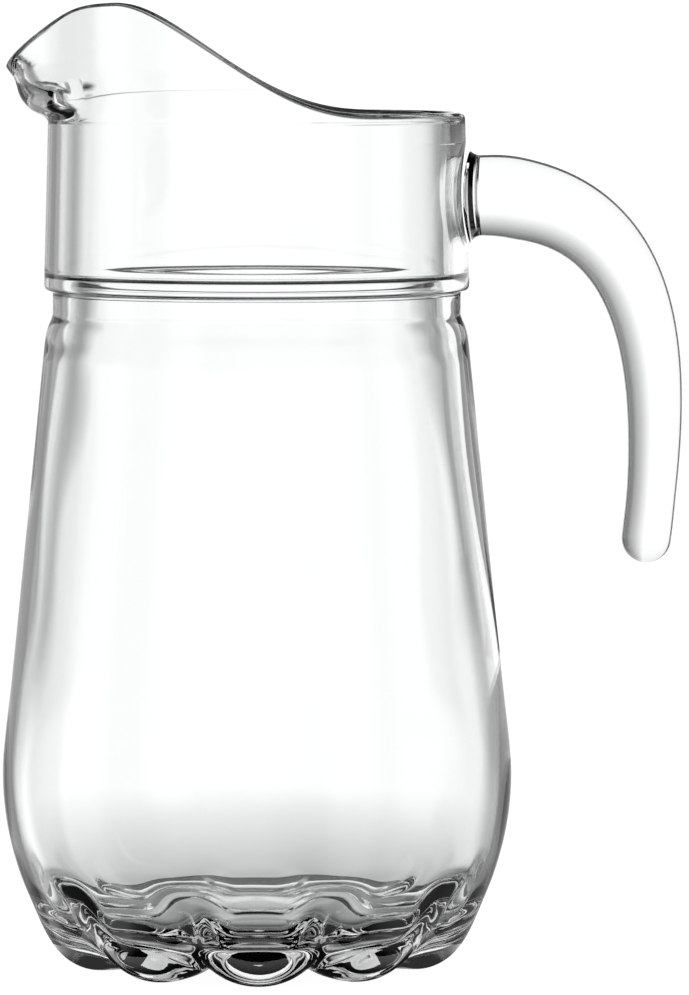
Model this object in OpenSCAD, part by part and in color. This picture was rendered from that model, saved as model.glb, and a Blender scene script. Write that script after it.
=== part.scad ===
// Large glass pouring jug: scalloped base, tapering barrel, banded collar with a hooded
// spout, and an open handle fused to the collar. Units are millimetres.
// The jug's axis is Z, the table is z = 0, the spout points to -X and the handle to +X.

/* [Barrel] */
// Radius of the belly, the widest place
belly_r = 65; // [55:0.5:75]
// Height of the belly above the table
belly_z = 48.6; // [40:0.2:60]
// Radius of the curve that runs from the belly down to the base
belly_curve_r = 75; // [66:1:90]
// Outer radius where the straight taper ends below the shoulder
shoulder_r = 54.1; // [46:0.1:62]
// Height where the straight taper ends
shoulder_z = 156.7; // [130:0.1:180]
// Wall thickness of the barrel at the belly
barrel_wall = 2.6; // [2:0.1:5]
// Wall thickness of the barrel at its shoulder
shoulder_wall = 3.8; // [2:0.1:5]

/* [Waist] */
// Outer radius of the groove between barrel and collar
waist_r = 51.8; // [44:0.1:60]
// Height of the groove
waist_h = 6; // [3:0.1:12]
// Height from the end of the taper to the collar's lower edge
neck_h = 15.1; // [12:0.1:24]
// Thickness of the glass behind the groove, where the opening is narrowest
throat_wall = 4.6; // [4:0.1:10]
// How far below the shoulder the inside starts to narrow
narrow_down = 6; // [2:0.1:12]
// Height of the ledge inside, where the throat opens into the collar, above the collar's lower edge
ledge_up = 3.7; // [1:0.1:8]

/* [Collar] */
// Outer radius at the bottom of the collar
collar_bottom_r = 54; // [47:0.1:62]
// Outer radius at the top of the collar
collar_top_r = 52.9; // [46:0.1:61]
// Height of the collar up to the rim
collar_h = 45.2; // [30:0.1:60]
// Wall thickness of the collar
collar_wall = 3.8; // [2:0.1:5]
// Rounding of the collar's lower edge
collar_edge_r = 2; // [0.5:0.1:4]

/* [Hooded spout] */
// Height of the hood's two wings above the rim
wing_h = 27.7; // [12:0.1:40]
// Angle from the spout to the top of a wing
wing_angle = 47; // [36:1:60]
// Angle from the spout to where the rim starts to rise
hood_angle = 128; // [100:1:140]
// Height of the pouring tip above the rim
tip_h = 11.7; // [6:0.1:20]
// How far the pouring tip stands out from the collar
tip_out = 10.9; // [5:0.1:18]
// Wall thickness of the hood at its edge
lip_wall = 2.4; // [1.6:0.1:5]
// Extra bulge of the pouch under the tip
pouch_out = 2.8; // [0:0.1:5]
// Half angle that the pouch spreads over
pouch_angle = 33; // [20:1:45]

/* [Base] */
// Number of scalloped feet
feet = 10; // [6:1:14]
// Radius of each foot's ball
foot_r = 17; // [10:0.1:24]
// How far inside the belly's radius the middles of the feet lie
foot_inset = 25; // [18:0.1:32]
// Height of the middle of each foot's ball
foot_z = 16; // [10:0.1:20]
// Height of the inside floor
floor_z = 12.6; // [9:0.1:22]
// Rise of the floor's low dome in the middle
dome_h = 3; // [0:0.1:6]
// Depth of the hollow under the base
recess_h = 6.4; // [4:0.1:9]
// Radius of the dents inside, one over each foot
dent_r = 9; // [5:0.1:12]
// Depth of the dents below the inside floor
dent_h = 1.4; // [0.2:0.1:3]

/* [Handle] */
// Height of the handle's root above the collar's lower edge
handle_up = 24; // [14:0.1:32]
// Reach of the handle's end, out from the collar
handle_reach = 45.8; // [36:0.1:60]
// Drop of the handle's end below its root
handle_drop = 87.2; // [60:0.1:120]
// Reach of the pull that makes the upper bend
bend_top_out = 42.2; // [30:0.1:55]
// Rise of that pull above the root
bend_top_up = 1.2; // [-5:0.1:15]
// Reach of the pull that makes the lower bend
bend_low_out = 52.9; // [40:0.1:70]
// Drop of that pull below the root
bend_low_down = 30.5; // [15:0.1:50]
// Thickness of the handle at the collar, seen from the side
handle_root_t = 21.9; // [14:0.1:28]
// Thickness of the handle at its end, seen from the side
handle_end_t = 11.9; // [8:0.1:18]
// Width of the handle across its thickness, as a share of the thickness
handle_width = 1.06; // [0.8:0.01:1.3]
// How much the weld flares where the handle meets the collar
weld_flare = 1.6; // [0:0.1:4]

/* [Hidden] */
// Smoothness of the round surfaces
$fn = 120;
// Plan step of the hood, its levels, and the steps along and around the handle
hood_step = 4;
hood_levels = 12;
handle_steps = 30;
handle_sides = 24;
// The hood's lower edge is buried in the collar: this far below the rim and inside its faces
hood_bury = 8;
hood_skin = 0.05;

collar_z = shoulder_z + neck_h;
rim_z = collar_z + collar_h;
rim_bead = collar_wall / 2;
taper = atan((belly_r - shoulder_r) / (shoulder_z - belly_z));
curve_x = belly_r - belly_curve_r;
edge_z = collar_z + collar_edge_r;
bead_z = rim_z - rim_bead;
collar_slope = (collar_bottom_r - collar_top_r) / (bead_z - edge_z);
foot_gap_z = foot_z - foot_r + 5.2;
foot_ring_r = belly_r - foot_inset;
floor_r = foot_ring_r + 3;
recess_r = foot_ring_r - 10;
dome_r = floor_r / 2;
throat_r = waist_r - throat_wall;
ledge_z = collar_z + ledge_up;
root_x = collar_r(collar_z + handle_up);
root_z = collar_z + handle_up;

function ease(a, b, x) = let (t = min(1, max(0, (x - a) / (b - a)))) t * t * (3 - 2 * t);
function mix(a, b, t) = a + (b - a) * t;

// Outer radius of the collar at a height, with no flare above its bead
function collar_r(z) = collar_bottom_r - collar_slope * (min(z, bead_z) - edge_z);

// Wall thickness of the collar and the hood at a height
function wall_at(z) = mix(collar_wall, lip_wall, ease(rim_z - 2, rim_z + 12, z));

// Points of an arc, counted from +X towards +Y in the profile's plane
function arc(x, y, r, a, b, n) = [for (i = [0:n])
  [x + r * cos(mix(a, b, i / n)), y + r * sin(mix(a, b, i / n))]];

// Inner profile of the vessel from the floor's centre up to the rim
function inner_profile() = concat(
  [for (i = [0:6]) [dome_r * i / 6, floor_z + dome_h * (1 - ease(0, dome_r, dome_r * i / 6))]],
  arc(floor_r, floor_z + 10, 10, -90, -38, 6),
  arc(curve_x, belly_z, belly_curve_r - barrel_wall, -18, taper, 9),
  [for (i = [0:8]) let (t = i / 8)
    [mix(shoulder_r - shoulder_wall, throat_r, ease(0, 1, t)),
     mix(shoulder_z - narrow_down, collar_z - 3, t)]],
  [[throat_r, ledge_z], [collar_r(ledge_z) - collar_wall, ledge_z + 0.4]]);

// Outer profile of the vessel, from inside the rim over its bead and down to the base's middle
function outer_profile() = concat(
  arc(collar_top_r - rim_bead, bead_z, rim_bead, 180, 0, 8),
  arc(collar_bottom_r - collar_edge_r, edge_z, collar_edge_r, 0, -90, 5),
  [[waist_r, collar_z], [waist_r, collar_z - waist_h],
   [mix(waist_r, shoulder_r, 0.45), collar_z - waist_h - 2.6],
   [mix(waist_r, shoulder_r, 0.8), collar_z - waist_h - 5.8], [shoulder_r, shoulder_z]],
  arc(curve_x, belly_z, belly_curve_r, taper, -26, 12),
  [[foot_ring_r + 12, foot_gap_z + 6.8], [foot_ring_r + 6, foot_gap_z + 2.8],
   [foot_ring_r, foot_gap_z], [recess_r, foot_gap_z]],
  [for (i = [1:6])
    [recess_r * cos(15 * i), foot_gap_z + (recess_h - foot_gap_z) * sin(15 * i)]]);

// Height of the rim above its flat part, a = angle from the spout
function rim_rise(a) = wing_h * pow(1 - ease(wing_angle, hood_angle, a), 1.5)
  - (wing_h - tip_h) * exp(-pow(a / 17, 1.5));

// Outer radius of the hood at an angle from the spout and a height
function hood_r(a, z) =
  let (h = z - rim_z + 1.5, full = tip_h + 1.5,
       beak = tip_out * exp(-pow(a / 15, 2)) * min(1, max(0, h / full)),
       pouch = pouch_out * (1 - ease(0.6 * pouch_angle, pouch_angle, a))
         * ease(-0.3, 2.2, h) * (1 - ease(4, 0.85 * full, h)))
  collar_r(z) + beak + pouch;

// One upright section of the hood: its outer face, the rim's bead, then its inner face
function hood_section(a) =
  let (peak = rim_z + rim_rise(a), bead = wall_at(peak) / 2, top = peak - bead, foot = rim_z - 2.2,
       zs = [rim_z - hood_bury, for (i = [0:hood_levels])
         mix(foot, top, pow(i / hood_levels, 1.25))],
       out = [for (z = zs) hood_r(a, z) - hood_skin],
       inn = [for (z = zs) hood_r(a, z - 1.4) - wall_at(z) + 2 * hood_skin],
       mid = (out[len(zs) - 1] + inn[len(zs) - 1]) / 2,
       half = (out[len(zs) - 1] - inn[len(zs) - 1]) / 2)
  concat(
    [for (i = [0:len(zs) - 1]) [out[i], zs[i]]],
    [for (b = [45, 90, 135])
      [mid + half * cos(b), top + (bead - hood_skin) * sin(b)]],
    [for (i = [len(zs) - 1:-1:0]) [inn[i], zs[i]]]);

// Skin around a list of closed rings of points, with flat ends
module skin(rings) {
  n = len(rings[0]);
  last = len(rings) - 1;
  polyhedron(
    points = [for (ring = rings) each ring],
    faces = concat(
      [for (k = [0:last - 1], i = [0:n - 1], f = [0, 1])
        let (j = (i + 1) % n, a = k * n + i, b = k * n + j)
        f == 0 ? [a, b, b + n] : [a, b + n, a + n]],
      [[for (i = [n - 1:-1:0]) i]],
      [[for (i = [0:n - 1]) last * n + i]]));
}

// The feet's directions from the axis
module at_each_foot() {
  for (i = [0:feet - 1]) rotate([0, 0, (i + 0.5) * 360 / feet]) children();
}

module feet_balls() {
  intersection() {
    at_each_foot() translate([foot_ring_r, 0, foot_z]) sphere(r = foot_r);
    cylinder(r = belly_r, h = foot_z + foot_r);
  }
}

module dents() {
  at_each_foot() translate([floor_r + 1, 0, floor_z + dent_r - dent_h]) sphere(r = dent_r);
}

module cavity() {
  rotate_extrude() polygon(concat(inner_profile(),
    [[collar_top_r - collar_wall, rim_z + 1], [0, rim_z + 1]]));
}

module wall() {
  rotate_extrude() polygon(concat(outer_profile(), inner_profile()));
}

module hood() {
  skin([for (a = [-hood_angle:hood_step:hood_angle])
    [for (p = hood_section(abs(a))) [-p[0] * cos(a), -p[0] * sin(a), p[1]]]]);
}

module vessel() {
  color([0.86, 0.9, 0.9, 0.45])
    union() {
      difference() {
        union() {
          wall();
          difference() {
            feet_balls();
            cavity();
          }
        }
        dents();
      }
      hood();
    }
}

// Centre of the handle's section, t = 0 just inside the collar and 1 at the end
function handle_at(t) = let (u = 1 - t)
  [root_x, 0, root_z] - u * u * u * [1.5, 0, 0]
  + 3 * u * u * t * [bend_top_out, 0, bend_top_up]
  + 3 * u * t * t * [bend_low_out, 0, -bend_low_down]
  + t * t * t * [handle_reach, 0, -handle_drop];

// Direction of the handle at t, along its length
function handle_dir(t) = let (d = handle_at(t + 0.001) - handle_at(t - 0.001)) d / norm(d);

// Half the handle's thickness at t, with the weld's flare next to the collar
function handle_half(t) = mix(handle_root_t, handle_end_t, t) / 2
  + weld_flare * exp(-max(0, handle_at(t)[0] - root_x) / 1.8);

// A ring of points around the handle at t, moved along it and shrunk by a share
function handle_ring(t, along, share) =
  let (c = handle_at(t), d = handle_dir(t), up = [-d[2], 0, d[0]], h = handle_half(t) * share)
  [for (i = [0:handle_sides - 1]) let (b = 360 * i / handle_sides)
    c + along * d + h * cos(b) * up + [0, h * handle_width * sin(b), 0]];

module handle() {
  color([0.88, 0.92, 0.92, 0.45])
    difference() {
      skin(concat(
        [for (i = [0:handle_steps]) handle_ring(pow(i / handle_steps, 1.3), 0, 1)],
        [for (b = [18:18:72]) handle_ring(1, handle_end_t / 2 * sin(b), cos(b))],
        [handle_ring(1, handle_end_t / 2 * sin(84), cos(84))]));
      translate([0, 0, edge_z])
        cylinder(r1 = collar_bottom_r, r2 = collar_top_r, h = bead_z - edge_z);
    }
}

vessel();
handle();
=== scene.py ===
"""Large clear glass pouring jug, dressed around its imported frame.

The jug is two pieces of glass: the vessel, with its scalloped feet, barrel, waist, collar and
hooded spout, and the handle, which is fused to the collar. Sizes are in millimetres in the
dataclasses below and in metres in the meshes. The jug's axis is Z, the table is z = 0, the
spout points to -X and the handle to +X.
"""

import logging
import math
from dataclasses import dataclass, field
from enum import Enum
from typing import Any, Iterable, Sequence

import bpy
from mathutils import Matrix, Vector


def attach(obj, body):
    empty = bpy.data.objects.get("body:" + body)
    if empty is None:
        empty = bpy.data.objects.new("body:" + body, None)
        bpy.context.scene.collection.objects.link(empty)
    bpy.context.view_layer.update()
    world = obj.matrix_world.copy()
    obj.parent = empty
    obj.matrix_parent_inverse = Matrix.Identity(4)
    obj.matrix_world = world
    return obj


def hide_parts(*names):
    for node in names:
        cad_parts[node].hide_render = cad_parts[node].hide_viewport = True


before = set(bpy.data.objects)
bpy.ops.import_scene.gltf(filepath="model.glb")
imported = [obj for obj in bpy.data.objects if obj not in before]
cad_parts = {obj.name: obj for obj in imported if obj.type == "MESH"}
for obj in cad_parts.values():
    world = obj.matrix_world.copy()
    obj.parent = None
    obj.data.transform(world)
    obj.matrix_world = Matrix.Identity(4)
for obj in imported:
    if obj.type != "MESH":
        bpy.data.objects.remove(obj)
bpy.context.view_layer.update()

MM = 0.001
WHITE = (1.0, 1.0, 1.0, 1.0)
LOG = logging.getLogger("jug")

Point = tuple[float, float]
Point3 = tuple[float, float, float]


# --------------------------------------------------------------------------- plain maths


def mix(a: float, b: float, t: float) -> float:
    """The value t of the way from a to b."""
    return a + (b - a) * t


def ease(a: float, b: float, x: float) -> float:
    """0 below a, 1 above b and a smooth step between them."""
    t = min(1.0, max(0.0, (x - a) / (b - a)))
    return t * t * (3.0 - 2.0 * t)


def spline(points: Sequence[Point], per_span: int) -> list[Point]:
    """A smooth line that follows a run of guide points.

    Args:
        points: Guide points, radius and height.
        per_span: Samples between two guide points.

    Returns:
        The samples, with the first and last guide points kept.
    """
    ends = [points[0]] * 2 + list(points) + [points[-1]] * 2
    line: list[Point] = []
    for k in range(1, len(ends) - 2):
        quad = ends[k - 1 : k + 3]
        for s in range(per_span):
            t = s / per_span
            weights = (
                (1 - t) ** 3 / 6,
                (3 * t**3 - 6 * t * t + 4) / 6,
                (-3 * t**3 + 3 * t * t + 3 * t + 1) / 6,
                t**3 / 6,
            )
            line.append(tuple(sum(w * p[i] for w, p in zip(weights, quad)) for i in (0, 1)))
    line.append(tuple(points[-1]))
    return [p for n, p in enumerate(line) if n == 0 or math.dist(p, line[n - 1]) > 1e-6]


def arc(x: float, y: float, r: float, a: float, b: float, count: int) -> list[Point]:
    """Points of an arc around (x, y) from angle a to angle b, in degrees, both included."""
    turns = [math.radians(mix(a, b, i / count)) for i in range(count + 1)]
    return [(x + r * math.cos(t), y + r * math.sin(t)) for t in turns]


# ------------------------------------------------------------------------- node building


class Value:
    """A node's output that can be used in sums, products and comparisons."""

    def __init__(self, tree: "Tree", socket: bpy.types.NodeSocket) -> None:
        """Wraps a socket of a tree."""
        self.tree = tree
        self.socket = socket

    def math(self, operation: str, *others: Any) -> "Value":
        """One Math node on this value.

        Args:
            operation: The Math node's operation.
            others: The other operands, values or numbers.

        Returns:
            The node's result.
        """
        inputs = {n: v for n, v in enumerate((self, *others))}
        return self.tree.node("ShaderNodeMath", {"operation": operation}, inputs)["Value"]

    def reflected(self, operation: str, other: float) -> "Value":
        """One Math node with a number on its left."""
        return self.tree.node("ShaderNodeMath", {"operation": operation}, {0: other, 1: self})["Value"]

    def __add__(self, other: Any) -> "Value":
        """Sum."""
        return self.math("ADD", other)

    def __sub__(self, other: Any) -> "Value":
        """Difference."""
        return self.math("SUBTRACT", other)

    def __rsub__(self, other: float) -> "Value":
        """Difference with a number on the left."""
        return self.reflected("SUBTRACT", other)

    def __mul__(self, other: Any) -> "Value":
        """Product."""
        return self.math("MULTIPLY", other)

    def __truediv__(self, other: Any) -> "Value":
        """Quotient."""
        return self.math("DIVIDE", other)

    def root(self) -> "Value":
        """Square root."""
        return self.math("SQRT")

    def size(self) -> "Value":
        """Absolute value."""
        return self.math("ABSOLUTE")

    def step(self, low: float, high: float, smooth: bool = True) -> "Value":
        """0 below low and 1 above high; low may be the larger, which turns it round.

        Args:
            low: The value where the result is 0.
            high: The value where the result is 1.
            smooth: Whether the step is rounded at both ends.

        Returns:
            A value from 0 to 1.
        """
        settings = {"interpolation_type": "SMOOTHSTEP" if smooth else "LINEAR", "clamp": True}
        if smooth and low > high:
            return 1.0 - self.step(high, low)
        names = {"Value": self, "From Min": low, "From Max": high, "To Min": 0.0, "To Max": 1.0}
        if smooth:
            settings.pop("clamp")
        return self.tree.node("ShaderNodeMapRange", settings, names)["Result"]


class Node:
    """A node whose outputs are read by name."""

    def __init__(self, tree: "Tree", node: bpy.types.Node) -> None:
        """Wraps a node of a tree."""
        self.tree = tree
        self.node = node

    def __getitem__(self, name: str | int) -> Value:
        """The output of that name or number."""
        return Value(self.tree, self.node.outputs[name])


class Tree:
    """Builds one node tree, of a material, of the world or of a Geometry Nodes group."""

    def __init__(self, tree: bpy.types.NodeTree) -> None:
        """Empties the tree and starts on it."""
        self.tree = tree
        tree.nodes.clear()

    def node(
        self, kind: str, settings: dict[str, Any] | None = None, inputs: dict[Any, Any] | None = None
    ) -> Node:
        """Adds one node.

        Args:
            kind: The node's type.
            settings: Properties set before its sockets; "stops" gives a ramp's stops.
            inputs: Value, number, colour or vector for each socket, by name or number.

        Returns:
            The node.
        """
        made = self.tree.nodes.new(kind)
        for name, value in (settings or {}).items():
            if name == "stops":
                ramp = made.color_ramp
                while len(ramp.elements) > len(value):
                    ramp.elements.remove(ramp.elements[-1])
                while len(ramp.elements) < len(value):
                    ramp.elements.new(1.0)
                for element, (place, colour) in zip(ramp.elements, value):
                    element.position, element.color = place, colour
            else:
                setattr(made, name, value)
        for name, value in (inputs or {}).items():
            if isinstance(value, Value):
                self.tree.links.new(value.socket, made.inputs[name])
            else:
                made.inputs[name].default_value = value
        return Node(self, made)

    def split(self, vector: Value) -> tuple[Value, Value, Value]:
        """The X, Y and Z of a vector."""
        parts = self.node("ShaderNodeSeparateXYZ", None, {0: vector})
        return parts["X"], parts["Y"], parts["Z"]

    def join(self, x: Any, y: Any, z: Any) -> Value:
        """A vector from its X, Y and Z."""
        return self.node("ShaderNodeCombineXYZ", None, {"X": x, "Y": y, "Z": z})["Vector"]

    def vector(self, operation: str, inputs: dict[Any, Any]) -> Value:
        """The vector that one Vector Math node gives."""
        return self.node("ShaderNodeVectorMath", {"operation": operation}, inputs)["Vector"]

    def noise(self, place: Value, scale: float, detail: float) -> Value:
        """Noise from 0 to 1 at a place."""
        return self.node("ShaderNodeTexNoise", None, {"Vector": place, "Scale": scale, "Detail": detail})[0]


# -------------------------------------------------------------------------------- glass


class Seam(Enum):
    """Which marks of the mould show on a piece."""

    NONE = "none"
    VESSEL = "vessel"


@dataclass(frozen=True)
class Weld:
    """Where the handle is fused to the collar, in millimetres: one glass, with no face between.

    The patch lies between two radii, just inside and just outside the collar's surface.
    """

    height: float = 195.8
    half_height: float = 14.0
    half_width: float = 14.6
    inside_r: float = 52.3
    outside_r: float = 54.2


@dataclass(frozen=True)
class ClearGlass:
    """Clear soda-lime glass, fire-polished, with the faint waviness of a moulded wall."""

    name: str
    tint: tuple[float, float, float] = (0.985, 0.992, 0.990)
    deep_tint: tuple[float, float, float] = (0.965, 0.980, 0.976)
    index: float = 1.5
    wave_size: float = 26.0
    wave_depth: float = 0.03
    peel_size: float = 5.0
    peel_depth: float = 0.0012
    handling: float = 0.012
    seam: Seam = Seam.NONE
    rim_join_z: float = 214.6
    join_half: float = 0.5
    join_bottom: Point = (24.0, 60.0)

    def relief(self, tree: Tree, place: Value) -> Value:
        """Height of the surface's waviness, in metres.

        Args:
            tree: The material's tree.
            place: Position on the piece.

        Returns:
            The height, for a Bump node.
        """
        drawn = tree.node("ShaderNodeMapping", None, {"Vector": place, "Scale": (1.0, 1.0, 0.45)})["Vector"]
        wave = tree.noise(drawn, 1000.0 / self.wave_size, 1.0)
        peel = tree.noise(place, 1000.0 / self.peel_size, 2.0)
        height = wave * (self.wave_depth * MM) + peel * (self.peel_depth * MM)
        if self.seam is Seam.VESSEL:
            _, y, z = tree.split(place)
            low, full = self.join_bottom
            ring = (z - self.rim_join_z * MM).size().step(self.join_half * MM, 0.0)
            join = y.size().step(0.9 * self.join_half * MM, 0.0) * z.step(low * MM, full * MM)
            height = height + ring * (0.05 * MM) + join * (0.03 * MM)
        return height

    def material(self, weld: Weld) -> bpy.types.Material:
        """Builds the finish.

        Args:
            weld: The patch between collar and handle, which is left open in both pieces.

        Returns:
            The material.
        """
        made = bpy.data.materials.new(self.name)
        made.use_nodes = True
        tree = Tree(made.node_tree)
        place = tree.node("ShaderNodeTexCoord")["Object"]
        x, y, z = tree.split(place)
        height = self.relief(tree, place)
        relief = {"Strength": 1.0, "Distance": 1.0, "Height": height}
        bump = tree.node("ShaderNodeBump", None, relief)["Normal"]
        cloud = tree.noise(place, 18.0, 3.0)
        colour = tree.node(
            "ShaderNodeMix",
            {"data_type": "RGBA"},
            {"Factor": cloud, 6: (*self.tint, 1.0), 7: (*self.deep_tint, 1.0)},
        )[2]
        touch = tree.noise(place, 55.0, 5.0)
        glass = tree.node(
            "ShaderNodeBsdfPrincipled",
            {"distribution": "MULTI_GGX"},
            {
                "Base Color": colour,
                "Roughness": touch.step(0.55, 0.8) * self.handling,
                "IOR": self.index,
                "Transmission Weight": 1.0,
                "Normal": bump,
            },
        )["BSDF"]
        across = y / (weld.half_width * MM)
        up = (z - weld.height * MM) / (weld.half_height * MM)
        away = (x * x + y * y).root()
        patch = (across * across + up * up).math("LESS_THAN", 1.0) * x.math("GREATER_THAN", 0.0)
        patch = patch * away.math("LESS_THAN", weld.outside_r * MM)
        patch = patch * away.math("GREATER_THAN", weld.inside_r * MM)
        clear = tree.node("ShaderNodeBsdfTransparent", None, {"Color": WHITE})["BSDF"]
        surface = tree.node("ShaderNodeMixShader", None, {0: patch, 1: glass, 2: clear})["Shader"]
        tree.node("ShaderNodeOutputMaterial", None, {"Surface": surface})
        return made


# ------------------------------------------------------------------------------- meshes


def new_object(name: str, mesh: bpy.types.Mesh) -> bpy.types.Object:
    """A linked object for a mesh, at the origin."""
    made = bpy.data.objects.new(name, mesh)
    bpy.context.scene.collection.objects.link(made)
    return made


@dataclass
class Skin:
    """A closed skin over rings of points, ended by a single point at each end."""

    start: Point3
    rings: list[list[Point3]] = field(default_factory=list)
    end: Point3 = (0.0, 0.0, 0.0)

    def mesh(self, name: str) -> bpy.types.Mesh:
        """Builds the mesh, in metres.

        Args:
            name: The mesh's name.

        Returns:
            A closed mesh whose faces point outwards.
        """
        count = len(self.rings[0])
        points = [self.start] + [p for ring in self.rings for p in ring] + [self.end]
        faces: list[tuple[int, ...]] = []
        for k in range(count):
            faces.append((0, 1 + (k + 1) % count, 1 + k))
        for n in range(len(self.rings) - 1):
            low, high = 1 + n * count, 1 + (n + 1) * count
            for k in range(count):
                j = (k + 1) % count
                faces.append((low + k, low + j, high + j, high + k))
        last, tip = 1 + (len(self.rings) - 1) * count, len(points) - 1
        for k in range(count):
            faces.append((last + k, last + (k + 1) % count, tip))
        mesh = bpy.data.meshes.new(name)
        mesh.from_pydata([tuple(c * MM for c in p) for p in points], [], faces)
        mesh.validate()
        if mesh_volume(mesh) < 0:
            mesh.flip_normals()
        mesh.polygons.foreach_set("use_smooth", [True] * len(mesh.polygons))
        mesh.update()
        return mesh


def mesh_volume(mesh: bpy.types.Mesh) -> float:
    """Signed volume of a closed mesh, positive when its faces point outwards."""
    mesh.calc_loop_triangles()
    total = 0.0
    for triangle in mesh.loop_triangles:
        a, b, c = (mesh.vertices[v].co for v in triangle.vertices)
        total += a.dot(b.cross(c)) / 6.0
    return total


@dataclass
class Vessel:
    """The blown vessel: scalloped base, barrel, waist, collar and hooded spout."""

    finish: ClearGlass
    weld: Weld
    feet: int = 10
    steps_per_foot: int = 26
    belly_r: float = 65.0
    belly_z: float = 48.6
    belly_curve_r: float = 75.0
    shoulder_r: float = 54.1
    shoulder_z: float = 156.7
    barrel_wall: float = 2.6
    shoulder_wall: float = 3.8
    narrow_down: float = 6.0
    neck_h: float = 15.1
    waist_r: float = 51.8
    throat_wall: float = 4.6
    ledge_up: float = 3.7
    collar_bottom_r: float = 54.0
    collar_top_r: float = 52.9
    collar_h: float = 45.2
    collar_wall: float = 3.8
    collar_edge_r: float = 2.0
    lip_wall: float = 2.4
    wing_h: float = 27.7
    wing_angle: float = 47.0
    hood_angle: float = 128.0
    tip_h: float = 11.7
    tip_out: float = 10.9
    pouch_out: float = 2.8
    pouch_angle: float = 33.0
    floor_z: float = 12.6
    dome_h: float = 3.0
    recess_h: float = 6.4
    hood_levels: int = 26
    unevenness: float = 0.12
    foot_roundness: float = 0.73
    crease_rounding: float = 0.08

    @property
    def collar_z(self) -> float:
        """Height of the collar's lower edge."""
        return self.shoulder_z + self.neck_h

    @property
    def rim_z(self) -> float:
        """Height of the rim's flat part."""
        return self.collar_z + self.collar_h

    @property
    def curve_x(self) -> float:
        """Middle of the curve that runs from the belly to the base."""
        return self.belly_r - self.belly_curve_r

    @property
    def taper(self) -> float:
        """Lean of the barrel's straight part, in degrees."""
        return math.degrees(math.atan((self.belly_r - self.shoulder_r) / (self.shoulder_z - self.belly_z)))

    @property
    def bead_z(self) -> float:
        """Height of the middle of the rim's bead."""
        return self.rim_z - self.collar_wall / 2

    def collar_r(self, z: float) -> float:
        """Outer radius of the collar at a height, with no flare above its bead."""
        low = self.collar_z + self.collar_edge_r
        share = (min(z, self.bead_z) - low) / (self.bead_z - low)
        return mix(self.collar_bottom_r, self.collar_top_r, share)

    def wall_at(self, z: float) -> float:
        """Wall thickness of the collar and the hood at a height."""
        return mix(self.collar_wall, self.lip_wall, ease(self.rim_z - 2, self.rim_z + 12, z))

    def rim_rise(self, a: float) -> float:
        """Height of the rim above its flat part, at an angle from the spout."""
        wings = self.wing_h * (1 - ease(self.wing_angle, self.hood_angle, a)) ** 1.5
        return wings - (self.wing_h - self.tip_h) * math.exp(-((a / 17.0) ** 1.5))

    def hood_r(self, a: float, z: float) -> float:
        """Outer radius of the collar and the hood.

        Args:
            a: Angle from the spout, in degrees.
            z: Height.

        Returns:
            The radius.
        """
        h, full = z - self.rim_z + 1.5, self.tip_h + 1.5
        rise = min(1.0, max(0.0, h / full))
        beak = self.tip_out * math.exp(-((a / 15.0) ** 2)) * rise
        spread = 1 - ease(0.6 * self.pouch_angle, self.pouch_angle, a)
        pouch = self.pouch_out * spread * ease(-0.3, 2.2, h) * (1 - ease(4, 0.85 * full, h))
        return self.collar_r(z) + beak + pouch

    def foot_line(self) -> list[Point]:
        """Guide points under a foot, from the middle of the base out to the barrel."""
        top = self.recess_h
        return [
            (0, top), (6, top), (12, top - 0.2), (18, top - 0.8), (23.5, top - 1.9), (28, 2.9), (31.5, 1.1),
            (34.5, 0.1), (37.5, 0), (40.5, 0), (43.5, 0.02), (46.2, 0.5), (49.2, 1.9), (51.9, 4.1),
            (54.0, 6.7), (55.6, 9.6), (57.0, 13.0), (58.5, 17.2), (60.1, 21.4),
        ]  # fmt: skip

    def valley_line(self) -> list[Point]:
        """Guide points between two feet, as many as under a foot."""
        top = self.recess_h
        return [
            (0, top), (6, top), (12, top - 0.2), (17.5, top - 0.5), (22, 5.5), (26, 5.1), (29.5, 4.8),
            (32.5, 4.6), (35, 4.55), (37.5, 4.6), (40, 4.9), (42.5, 5.5), (45.4, 6.6), (48.2, 8.1),
            (50.8, 10.1), (53.2, 12.4), (55.6, 15.2), (58, 18.6), (60.1, 22.0),
        ]  # fmt: skip

    def outer_line(self, base: list[Point]) -> list[Point]:
        """The outside, from the middle of the base up to where the hood begins.

        Args:
            base: Guide points of the base, under a foot or between two.

        Returns:
            Samples of radius and height.
        """
        z, r = self.collar_z, self.shoulder_r
        lean = math.tan(math.radians(self.taper))
        barrel = arc(self.curve_x, self.belly_z, self.belly_curve_r, -17.5, self.taper, 6)
        top_z = self.shoulder_z
        straight = [(r + lean * (top_z - h), h) for h in (72.0, 96.0, 120.0, 140.0, 150.0, top_z)]
        waist = [
            (r - 0.25, z - 12.5), (r - 0.7, z - 10.2), (r - 1.35, z - 8.2), (self.waist_r + 0.2, z - 6.8),
            (self.waist_r, z - 5.6), (self.waist_r, z - 3.2), (self.waist_r, z - 1.0),
            (self.waist_r + 0.1, z - 0.1), (self.waist_r + 0.6, z), (self.collar_bottom_r - 0.9, z + 0.1),
            (self.collar_bottom_r - 0.2, z + 0.6), (self.collar_bottom_r, z + 1.6),
        ]  # fmt: skip
        collar = [(self.collar_r(h), h) for h in (z + 3.2, z + 6, z + 12, z + 20, z + 28, self.rim_z - 8.0)]
        return spline(base + barrel + straight + waist + collar, 3)

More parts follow.
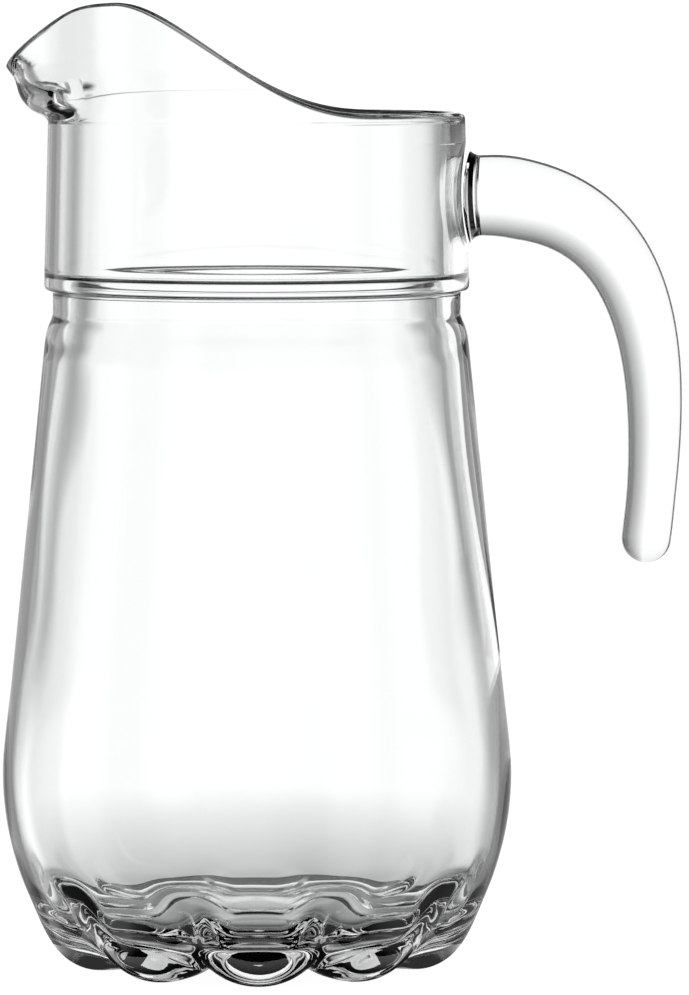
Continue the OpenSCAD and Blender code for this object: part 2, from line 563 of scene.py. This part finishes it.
    def floor_line(self, dent: bool) -> list[Point]:
        """Guide points of the inside floor, from the wall in to the middle.

        Args:
            dent: Whether the line runs through the dent over a foot.

        Returns:
            Guide points, as many either way.
        """
        f = self.floor_z
        if dent:
            edge = [(59.0, f + 14.2), (57.4, f + 9.6), (55.4, f + 5.4), (52.2, f + 2.0), (48.0, f + 0.1),
                    (43.0, f - 0.9), (38.0, f - 1.0), (32.0, f - 0.4), (26.0, f)]  # fmt: skip
        else:
            edge = [(59.0, f + 14.2), (56.6, f + 10.4), (53.6, f + 6.8), (50.4, f + 3.8), (46.8, f + 1.7),
                    (42.6, f + 0.6), (38.0, f + 0.1), (32.0, f), (26.0, f)]  # fmt: skip
        dome = [(r, f + self.dome_h * (1 - ease(0, 24, r))) for r in (21.0, 16.0, 11.0, 6.0, 0.0)]
        return edge + dome

    def inner_line(self, floor: list[Point]) -> list[Point]:
        """The inside, from where the hood begins down to the middle of the floor.

        Args:
            floor: Guide points of the floor, through a dent or between two.

        Returns:
            Samples of radius and height.
        """
        z, wall, ledge = self.collar_z, self.collar_wall, self.collar_z + self.ledge_up
        throat_r, full = self.waist_r - self.throat_wall, self.collar_r(self.collar_z) - wall
        heights = (self.rim_z - 8.0, z + 30, z + 22, z + 15, z + 10, z + 7, ledge + 2.0)
        collar = [(self.collar_r(h) - wall, h) for h in heights]
        step = [(full, ledge + 1.2), (full, ledge + 0.6), (full - 0.4, ledge + 0.3),
                (full - 1.2, ledge + 0.25), (throat_r + 1.0, ledge + 0.1), (throat_r + 0.3, ledge + 0.05),
                (throat_r, ledge - 0.3), (throat_r, ledge - 0.8), (throat_r, ledge - 2.5),
                (throat_r, z - 1.0)]  # fmt: skip
        top_r = self.shoulder_r - self.shoulder_wall
        low = self.shoulder_z - self.narrow_down
        neck = [(mix(top_r, throat_r, ease(0, 1, t)), mix(low, z - 3, t))
                for t in (0.88, 0.76, 0.64, 0.52, 0.4, 0.28, 0.16, 0.04)]  # fmt: skip
        inner_r = self.belly_curve_r - self.barrel_wall
        belly = arc(self.curve_x, self.belly_z, inner_r, self.taper, -14.0, 6)
        straight = [(mix(top_r, belly[0][0], t), mix(low, belly[0][1], t))
                    for t in (0.1, 0.25, 0.45, 0.65, 0.85)]  # fmt: skip
        return spline(collar + step + neck + straight + belly + floor, 3)

    def wander(self, turn: float, z: float) -> float:
        """Unevenness of the inner wall, which a blown wall always has.

        Args:
            turn: Angle around the axis, in radians.
            z: Height.

        Returns:
            How far the wall stands in, in millimetres.
        """
        fade = ease(18, 40, z) * (1 - ease(self.shoulder_z - 10, self.shoulder_z + 8, z))
        long_way = math.sin(3 * turn + z / 31.0 + 0.7) + 0.8 * math.sin(5 * turn - z / 19.0 + 2.1)
        short_way = 0.5 * math.sin(8 * turn + z / 11.0 + 4.0) + 0.45 * math.sin(2 * turn - z / 8.3)
        return self.unevenness * fade * (long_way + short_way)

    def hood_points(self, a: float) -> list[tuple[float, float]]:
        """Section of collar top and hood, up the outside, over the rim and down the inside.

        Args:
            a: Angle from the spout, in degrees.

        Returns:
            Radius and height of each point.
        """
        peak = self.rim_z + self.rim_rise(a)
        bead_r = self.wall_at(peak) / 2
        top, low = peak - bead_r, self.rim_z - 8.0
        shares = [(i / self.hood_levels) ** 1.1 for i in range(1, self.hood_levels + 1)]
        levels = [mix(low, top, s) for s in shares]
        out = [(self.hood_r(a, z), z) for z in levels]
        inn = [(self.hood_r(a, z - 1.4) - self.wall_at(z), z) for z in levels]
        middle, half = (out[-1][0] + inn[-1][0]) / 2, (out[-1][0] - inn[-1][0]) / 2
        bead = [
            (middle + half * math.cos(math.radians(b)), top + bead_r * math.sin(math.radians(b)))
            for b in range(15, 180, 15)
        ]
        return out + bead + inn[::-1]

    def base_mesh(self) -> bpy.types.Mesh:
        """The vessel without its feet and dents, which it carries as attributes.

        Returns:
            A closed mesh with vector attributes "valley" and "dent": how far a point moves,
            outwards and up, between two feet and over a foot.
        """
        foot, valley = self.outer_line(self.foot_line()), self.outer_line(self.valley_line())
        smooth, dented = self.inner_line(self.floor_line(False)), self.inner_line(self.floor_line(True))
        count = self.feet * self.steps_per_foot
        turns = [2 * math.pi * k / count for k in range(count)]
        rings: list[list[Point3]] = []
        valleys: list[Point3] = [(0.0, 0.0, 0.0)]
        dents: list[Point3] = [(0.0, 0.0, 0.0)]

        def add(radii: Iterable[tuple[float, float]], to_valley: Point, to_dent: Point) -> None:
            """Adds a ring from its points' radius and height, and its two moves."""
            rings.append([(r * math.cos(t), r * math.sin(t), z) for t, (r, z) in zip(turns, radii)])
            valleys.extend([(to_valley[0], 0.0, to_valley[1])] * count)
            dents.extend([(to_dent[0], 0.0, to_dent[1])] * count)

        for (r, z), (vr, vz) in list(zip(foot, valley))[1:]:
            add([(r, z)] * count, (vr - r, vz - z), (0.0, 0.0))
        away = [abs(180.0 - math.degrees(t)) for t in turns]
        sections = [self.hood_points(a) for a in away]
        for n in range(len(sections[0])):
            add([section[n] for section in sections], (0.0, 0.0), (0.0, 0.0))
        for (r, z), (dr, dz) in list(zip(smooth, dented))[:-1]:
            add([(r - self.wander(t, z), z) for t in turns], (0.0, 0.0), (dr - r, dz - z))
        skin = Skin((0.0, 0.0, foot[0][1]), rings, (0.0, 0.0, smooth[-1][1]))
        mesh = skin.mesh("vessel_blank")
        for name, moves in (("valley", valleys), ("dent", dents)):
            attribute = mesh.attributes.new(name, "FLOAT_VECTOR", "POINT")
            moves = moves + [(0.0, 0.0, 0.0)]
            attribute.data.foreach_set("vector", [c * MM for move in moves for c in move])
        LOG.info("vessel: %d rings of %d points", len(rings), count)
        return mesh

    def scallop_inputs(self) -> dict[str, float]:
        """The values that the scallops' node group is given."""
        return {
            "Feet": float(self.feet),
            "Foot roundness": self.foot_roundness,
            "Crease rounding": self.crease_rounding,
        }

    def scallops(self, material: bpy.types.Material) -> bpy.types.GeometryNodeTree:
        """Geometry Nodes that press the feet and the dents into the blank.

        Args:
            material: The finish that the result wears.

        Returns:
            The node group, with the number of feet and their roundness as inputs.
        """
        group = bpy.data.node_groups.new("scalloped_base", "GeometryNodeTree")
        face = group.interface
        face.new_socket("Geometry", in_out="INPUT", socket_type="NodeSocketGeometry")
        for name, value in self.scallop_inputs().items():
            face.new_socket(name, in_out="INPUT", socket_type="NodeSocketFloat").default_value = value
        face.new_socket("Geometry", in_out="OUTPUT", socket_type="NodeSocketGeometry")
        tree = Tree(group)
        given = tree.node("NodeGroupInput")
        x, y, _ = tree.split(tree.node("GeometryNodeInputPosition")["Position"])
        turn = y.math("ARCTAN2", x)
        place = turn * given["Feet"] / (2 * math.pi)
        off = (place.math("FRACT") - 0.5).size() * 2.0
        rounding = given["Crease rounding"]
        gap = 1.0 - off
        near = (gap * gap + rounding * rounding).root() * -1.0 + 1.0 + rounding * rounding
        near = near.math("MAXIMUM", 0.0)
        share = near * given["Foot roundness"]
        deepest = given["Foot roundness"]
        ball = (1.0 - (1.0 - share * share).root()) / (1.0 - (1.0 - deepest * deepest).root())
        pressed = off.step(0.92, 0.34)
        across = tree.vector("NORMALIZE", {0: tree.join(x, y, 0.0)})
        moves = []
        for name, share_of in (("valley", ball), ("dent", pressed)):
            kind = {"data_type": "FLOAT_VECTOR"}
            stored = tree.node("GeometryNodeInputNamedAttribute", kind, {"Name": name})
            out, _, up = tree.split(stored["Attribute"])
            sideways = tree.vector("SCALE", {0: across, "Scale": out * share_of})
            upright = tree.join(0.0, 0.0, up * share_of)
            moves.append(tree.vector("ADD", {0: sideways, 1: upright}))
        offset = tree.vector("ADD", {0: moves[0], 1: moves[1]})
        pressing = {"Geometry": given["Geometry"], "Offset": offset}
        shape = tree.node("GeometryNodeSetPosition", None, pressing)["Geometry"]
        for name in ("valley", "dent"):
            leftover = {"Geometry": shape, "Name": name}
            shape = tree.node("GeometryNodeRemoveAttribute", None, leftover)["Geometry"]
        shape = tree.node("GeometryNodeRealizeInstances", None, {"Geometry": shape})["Geometry"]
        finish = {"Geometry": shape, "Material": material}
        shape = tree.node("GeometryNodeSetMaterial", None, finish)["Geometry"]
        tree.node("NodeGroupOutput", None, {"Geometry": shape})
        return group

    def build(self) -> bpy.types.Object:
        """Builds and dresses the vessel.

        Returns:
            The finished piece.
        """
        material = self.finish.material(self.weld)
        piece = new_object("vessel_glass_body", self.base_mesh())
        group = self.scallops(material)
        modifier = piece.modifiers.new("scallops", "NODES")
        modifier.node_group = group
        sockets = {s.name: s.identifier for s in group.interface.items_tree if s.in_out == "INPUT"}
        for name, value in self.scallop_inputs().items():
            modifier[sockets[name]] = value
        baked = bpy.data.meshes.new_from_object(piece.evaluated_get(bpy.context.evaluated_depsgraph_get()))
        piece.modifiers.remove(modifier)
        blank, piece.data = piece.data, baked
        bpy.data.meshes.remove(blank)
        baked.name = "vessel_glass_body"
        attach(piece, "root")
        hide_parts("vessel")
        LOG.info("vessel: %d faces, %.0f cm3 of glass", len(baked.polygons), mesh_volume(baked) * 1e6)
        return piece


@dataclass
class Handle:
    """The open handle: a gather of glass fused to the collar, drawn out and left to hang."""

    finish: ClearGlass
    weld: Weld
    vessel: Vessel
    root_up: float = 24.0
    reach: float = 45.8
    drop: float = 87.2
    bend_top: Point = (42.2, 1.2)
    bend_low: Point = (52.9, -30.5)
    root_t: float = 21.9
    end_t: float = 11.9
    width: float = 1.06
    fillet: float = 3.8
    sides: int = 96
    steps: int = 130

    def centre(self, t: float) -> Point:
        """Middle of the handle's section at t, from 0 at the collar to 1 at the end."""
        z0 = self.vessel.collar_z + self.root_up
        x0 = self.vessel.collar_r(z0)
        u = 1 - t
        guides = ((0.0, 0.0), self.bend_top, self.bend_low, (self.reach, -self.drop))
        weights = (u**3, 3 * u * u * t, 3 * u * t * t, t**3)
        x = x0 + sum(w * g[0] for w, g in zip(weights, guides))
        z = z0 + sum(w * g[1] for w, g in zip(weights, guides))
        return x, z

    def along(self, t: float) -> Point:
        """Direction of the handle at t."""
        (ax, az), (bx, bz) = self.centre(t - 1e-3), self.centre(t + 1e-3)
        size = math.hypot(bx - ax, bz - az)
        return (bx - ax) / size, (bz - az) / size

    def thickness(self, t: float) -> float:
        """Thickness at t, seen from the side."""
        return mix(self.root_t, self.end_t, t) + 0.7 * math.exp(-(((t - 1.0) / 0.05) ** 2))

    def section(self, t: float, forward: float, share: float) -> list[Point3]:
        """A ring around the handle.

        Args:
            t: Place along the handle.
            forward: Shift along it.
            share: Share of the full section.

        Returns:
            Points of the ring.
        """
        (cx, cz), (dx, dz) = self.centre(t), self.along(t)
        half = self.thickness(t) / 2 * share
        ring = []
        for k in range(self.sides):
            b = 2 * math.pi * k / self.sides
            up, out = half * math.cos(b), half * self.width * math.sin(b)
            ring.append((cx + forward * dx - up * dz, out, cz + forward * dz + up * dx))
        return ring

    def root_ring(self, depth: float) -> list[Point3]:
        """A ring of the weld's fillet.

        Args:
            depth: Distance out from the collar's surface.

        Returns:
            Points of the ring, following the collar.
        """
        left = max(0.0, 1 - depth / self.fillet)
        flare = self.fillet * (1 - math.sqrt(max(0.0, 1 - left * left)))
        ring = []
        for k in range(self.sides):
            b = 2 * math.pi * k / self.sides
            up = (self.weld.half_height - self.fillet + flare) * math.cos(b)
            y = (self.weld.half_width - self.fillet + flare) * math.sin(b)
            z = self.weld.height + up
            x = math.sqrt(max(0.0, self.vessel.collar_r(z) ** 2 - y * y)) + depth
            ring.append((x, y, z))
        return ring

    def rings(self) -> list[list[Point3]]:
        """All rings, from the collar to the rounded end.

        Returns:
            Rings of points.
        """
        depths = [self.fillet * s for s in (0.0, 0.015, 0.05, 0.11, 0.19, 0.29, 0.41, 0.55, 0.7, 0.86, 1.0)]
        rings = [self.root_ring(d) for d in depths]
        first = 0.085
        for i in range(self.steps + 1):
            t = mix(first * 0.35, 1.0, (i / self.steps) ** 1.15)
            free = self.section(t, 0.0, 1.0)
            blend = ease(first * 0.2, first * 1.5, t)
            if blend < 1:
                depth = self.centre(t)[0] - self.vessel.collar_r(self.weld.height)
                if depth <= self.fillet:
                    continue
                fixed = self.root_ring(depth)
                free = [tuple(mix(p[c], q[c], blend) for c in range(3)) for p, q in zip(fixed, free)]
            rings.append(free)
        radius = self.thickness(1.0) / 2
        for b in range(6, 90, 6):
            a = math.radians(b)
            rings.append(self.section(1.0, radius * math.sin(a), math.cos(a)))
        return rings

    def build(self) -> bpy.types.Object:
        """Builds and dresses the handle.

        Returns:
            The finished piece.
        """
        rings = self.rings()
        cap = []
        for share in (0.25, 0.5, 0.75):
            ring = []
            for _, y, z in rings[0]:
                y, z = y * share, mix(self.weld.height, z, share)
                ring.append((math.sqrt(self.vessel.collar_r(z) ** 2 - y * y), y, z))
            cap.append(ring)
        start = (self.vessel.collar_r(self.weld.height), 0.0, self.weld.height)
        (cx, cz), (dx, dz) = self.centre(1.0), self.along(1.0)
        radius = self.thickness(1.0) / 2
        end = (cx + radius * dx, 0.0, cz + radius * dz)
        mesh = Skin(start, cap + rings, end).mesh("handle_glass_bar")
        mesh.materials.append(self.finish.material(self.weld))
        piece = new_object("handle_glass_bar", mesh)
        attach(piece, "root")
        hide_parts("handle")
        LOG.info("handle: %d faces, %.0f cm3 of glass", len(mesh.polygons), mesh_volume(mesh) * 1e6)
        return piece


# ------------------------------------------------------------------------------- studio


@dataclass
class Studio:
    """A white table in a white studio, with painted shadow under the jug and dark parts that draw the edges
    of the glass.

    Angles are in degrees, but for the band's sides, in radians. Sizes are in millimetres, but for
    the table and the camera, in metres.
    """

    handle: Handle
    table_r: float = 0.62
    # painted shadow under the jug on the table top: it darkens from the first radius in to the second, in
    # metres
    table_shade: Point = (0.085, 0.03)
    white: float = 1.09
    ceiling: float = 0.02
    ceiling_fade: Point = (23.0, 9.0)
    ahead_fade: Point = (24.0, 13.0)
    low_fade_ahead: Point = (-21.0, -10.0)
    low_fade_beside: Point = (-52.0, -36.0)
    # painted shadow under the jug, seen only in the glass: its darkest glow, the radii of its fading edge
    # and of its lighter middle in millimetres, and how light that middle is
    shade: float = 0.03
    shade_edge: Point = (49.3, 58.0)
    shade_middle: Point = (34.0, 20.0)
    shade_middle_glow: float = 0.4
    band_z: Point = (9.0, 52.0)
    band_gap: float = 2.5
    band_dim: float = 0.45
    band_bright_z: float = 38.0
    band_top_fade: Point = (50.0, 36.0)
    band_side_fade: Point = (1.35, 0.95)
    card_gap: float = 25.0
    card_across: Point = (-30.0, 34.0)
    card_along: Point = (0.02, 1.2)
    card_bright: float = 2.8
    card_fade: float = 7.0
    card_dim: float = 0.07
    card_dark_edge: Point = (-23.0, -21.0)
    lens: float = 231.0
    camera_place: Point3 = (-0.014, -1.62, 0.242)
    camera_target: Point3 = (0.0223, 0.0, 0.119)
    walls: tuple[Point, ...] = (
        (-180, 0.9), (-140, 0.9), (-128, 0.5), (-108, 0.5), (-100, 1), (-82, 1), (-77, 0.08), (-58, 0.08),
        (-50, 1), (-40, 1), (-35, 0.22), (-20, 0.32), (-12, 0.42), (-8.5, 1), (8.5, 1), (12, 0.42),
        (20, 0.32), (35, 0.2), (70, 0.2), (90, 0.5), (120, 0.55), (127, 1), (143, 1), (150, 0.6),
        (165, 0.7), (180, 0.9),
    )  # fmt: skip

    def world(self) -> None:
        """Sets up the room's light: white walls with darker parts, dark above and below."""
        world = bpy.data.worlds.new("studio")
        bpy.context.scene.world = world
        world.use_nodes = True
        tree = Tree(world.node_tree)
        x, y, z = tree.split(tree.node("ShaderNodeTexCoord")["Generated"])
        level = z.math("ARCSINE") * math.degrees(1.0)
        turn = x.math("ARCTAN2", y) * math.degrees(1.0)
        stops = [((bearing + 180.0) / 360.0, (glow, glow, glow, 1.0)) for bearing, glow in self.walls]
        wall = tree.node("ShaderNodeValToRGB", {"stops": stops}, {0: (turn + 180.0) / 360.0})["Color"]
        upper = level.step(*self.ceiling_fade)
        ahead = turn.size().step(*self.ahead_fade)
        beside = level.step(*self.low_fade_beside) * (1.0 - ahead)
        lower = level.step(*self.low_fade_ahead) * ahead + beside
        light = wall * upper * lower * (self.white - self.ceiling) + self.ceiling
        back = tree.node("ShaderNodeBackground", None, {"Color": WHITE, "Strength": light})
        tree.node("ShaderNodeOutputWorld", None, {"Surface": back["Background"]})

    def light_only(
        self, name: str, mesh: bpy.types.Mesh, strength: Any, camera: bool, cover: Any = None
    ) -> bpy.types.Object:
        """A glowing stage piece, either seen directly or seen only through and in the glass.

        Args:
            name: The piece's name.
            mesh: Its mesh, in metres.
            strength: Function of tree and position that gives its strength.
            camera: Whether it is seen directly.
            cover: Function of tree and position that gives how opaque it is, if it fades out.

        Returns:
            The stage piece.
        """
        made = bpy.data.materials.new(name)
        made.use_nodes = True
        tree = Tree(made.node_tree)
        place = tree.node("ShaderNodeTexCoord")["Object"]
        glow = {"Color": WHITE, "Strength": strength(tree, place)}
        surface = tree.node("ShaderNodeEmission", None, glow)["Emission"]
        if cover:
            clear = tree.node("ShaderNodeBsdfTransparent", None, {"Color": WHITE})["BSDF"]
            mixed = {0: cover(tree, place), 1: clear, 2: surface}
            surface = tree.node("ShaderNodeMixShader", None, mixed)["Shader"]
        tree.node("ShaderNodeOutputMaterial", None, {"Surface": surface})
        mesh.materials.append(made)
        piece = new_object(name, mesh)
        piece.visible_camera = camera
        piece.visible_transmission = piece.visible_glossy = not camera
        piece.visible_diffuse = piece.visible_shadow = False
        return piece

    def disc(self, name: str, radius: float, z: float) -> bpy.types.Mesh:
        """A level disc of a radius at a height, in metres."""
        turns = [2 * math.pi * k / 96 for k in range(96)]
        points = [(radius * math.cos(t), radius * math.sin(t), z) for t in turns]
        mesh = bpy.data.meshes.new(name)
        mesh.from_pydata(points, [], [tuple(range(96))])
        return mesh

    def table(self) -> None:
        """A round white table top with a painted shadow under the jug, and a painted shadow disc, seen only
        in the glass, that the feet show dark.
        """

        def top(tree: Tree, place: Value) -> Value:
            """Glow of the table top, with a painted shadow a tenth darker under the jug."""
            x, y, _ = tree.split(place)
            # painted shadow: the table top glows a tenth less under the jug
            return (1.0 - (x * x + y * y).root().step(*self.table_shade) * 0.10) * self.white

        def feet(tree: Tree, place: Value) -> Value:
            """Glow of the painted shadow under the jug, seen only in the glass: a dark ring with a grey
            middle.
            """
            x, y, _ = tree.split(place)
            away = (x * x + y * y).root()
            edge = away.step(*(r * MM for r in self.shade_edge))
            middle = away.step(*(r * MM for r in self.shade_middle)) * self.shade_middle_glow
            return (edge + middle) * (self.white - self.shade) + self.shade

        self.light_only("table_top", self.disc("table_top", self.table_r, -0.0002), top, True)
        # painted shadow: a dark disc just under the table top, seen only in and through the glass
        patch = self.disc("foot_shade", self.shade_edge[1] * MM, -0.0003)
        self.light_only("foot_shade", patch, feet, False)

    def grid(self, name: str, rows: list[list[Point3]]) -> bpy.types.Mesh:
        """A sheet over rows of points, all of one length, in millimetres."""
        count = len(rows[0])
        faces = []
        for i in range(len(rows) - 1):
            for j in range(count - 1):
                k = i * count + j
                faces.append((k, k + 1, k + count + 1, k + count))
        mesh = bpy.data.meshes.new(name)
        mesh.from_pydata([tuple(c * MM for c in p) for row in rows for p in row], [], faces)
        return mesh

    def base_glow(self) -> None:
        """A white band close behind the foot of the barrel, seen only through and in the glass."""
        vessel, steps, sides = self.handle.vessel, 30, 96
        reach = vessel.belly_curve_r + self.band_gap
        rows = []
        for i in range(steps + 1):
            z = mix(*self.band_z, i / steps)
            r = vessel.curve_x + math.sqrt(reach**2 - (z - vessel.belly_z) ** 2)
            turns = [2 * math.pi * k / sides for k in range(sides + 1)]
            rows.append([(r * math.cos(t), r * math.sin(t), z) for t in turns])

        def glow(tree: Tree, place: Value) -> Value:
            """Glow of the band, greyer near the feet."""
            _, _, z = tree.split(place)
            rise = z.step(self.band_z[0] * MM, self.band_bright_z * MM, False)
            return (rise * (1.0 - self.band_dim) + self.band_dim) * self.white

        def cover(tree: Tree, place: Value) -> Value:
            """The band fades out upwards and towards its sides."""
            x, y, z = tree.split(place)
            up = z.step(*(h * MM for h in self.band_top_fade))
            return up * x.math("ARCTAN2", y).size().step(*self.band_side_fade)

        self.light_only("base_glow", self.grid("base_glow", rows), glow, False, cover)

    def handle_card(self) -> None:
        """A white card behind the handle, which lights its glass and fades away from the loop."""
        steps, columns = 40, 32
        rows, across = [], []
        for i in range(steps + 1):
            t = mix(*self.card_along, i / steps)
            (cx, cz), (dx, dz) = self.handle.centre(t), self.handle.along(t)
            offsets = [mix(*self.card_across, j / columns) for j in range(columns + 1)]
            rows.append([(cx - dz * a, self.card_gap, cz + dx * a) for a in offsets])
            across += [a * MM for a in offsets]
        mesh = self.grid("handle_card", rows)
        mesh.attributes.new("across", "FLOAT", "POINT").data.foreach_set("value", across)

        def glow(tree: Tree, _: Value) -> Value:
            """Glow that fades away from the loop, with a dark strip along the card's other side."""
            stored = tree.node("ShaderNodeAttribute", {"attribute_name": "across"})["Fac"]
            past = (stored - self.card_bright * MM).math("MAXIMUM", 0.0)
            fade = (past * (-1.0 / (self.card_fade * MM))).math("EXPONENT")
            fade = fade * stored.step(*(a * MM for a in self.card_dark_edge))
            return (fade * (1.0 - self.card_dim) + self.card_dim) * self.white

        self.light_only("handle_card", mesh, glow, False)

    def camera(self) -> bpy.types.Object:
        """The camera, a little above the rim and a long way back.

        Returns:
            The camera.
        """
        lens = bpy.data.cameras.new("camera")
        lens.lens, lens.sensor_width, lens.sensor_fit = self.lens, 36.0, "AUTO"
        lens.clip_start, lens.clip_end = 0.05, 50.0
        camera = bpy.data.objects.new("camera", lens)
        bpy.context.scene.collection.objects.link(camera)
        place, target = Vector(self.camera_place), Vector(self.camera_target)
        camera.location = place
        camera.rotation_euler = (target - place).to_track_quat("-Z", "Y").to_euler()
        bpy.context.scene.camera = camera
        return camera

    def build(self) -> None:
        """Sets up light, table, band, card and camera."""
        self.world()
        self.table()
        self.base_glow()
        self.handle_card()
        self.camera()
        bpy.context.scene.view_settings.view_transform = "Standard"


def main() -> None:
    """Builds the jug and its studio."""
    logging.basicConfig(level=logging.INFO, format="%(name)s: %(message)s")
    weld = Weld()
    vessel = Vessel(ClearGlass("clear_vessel_glass", seam=Seam.VESSEL), weld)
    handle = Handle(ClearGlass("clear_handle_glass", wave_size=34.0, wave_depth=0.02), weld, vessel)
    for piece in (vessel.build(), handle.build()):
        LOG.info("%s is in place", piece.name)
    Studio(handle).build()


if __name__ == "__main__":
    main()
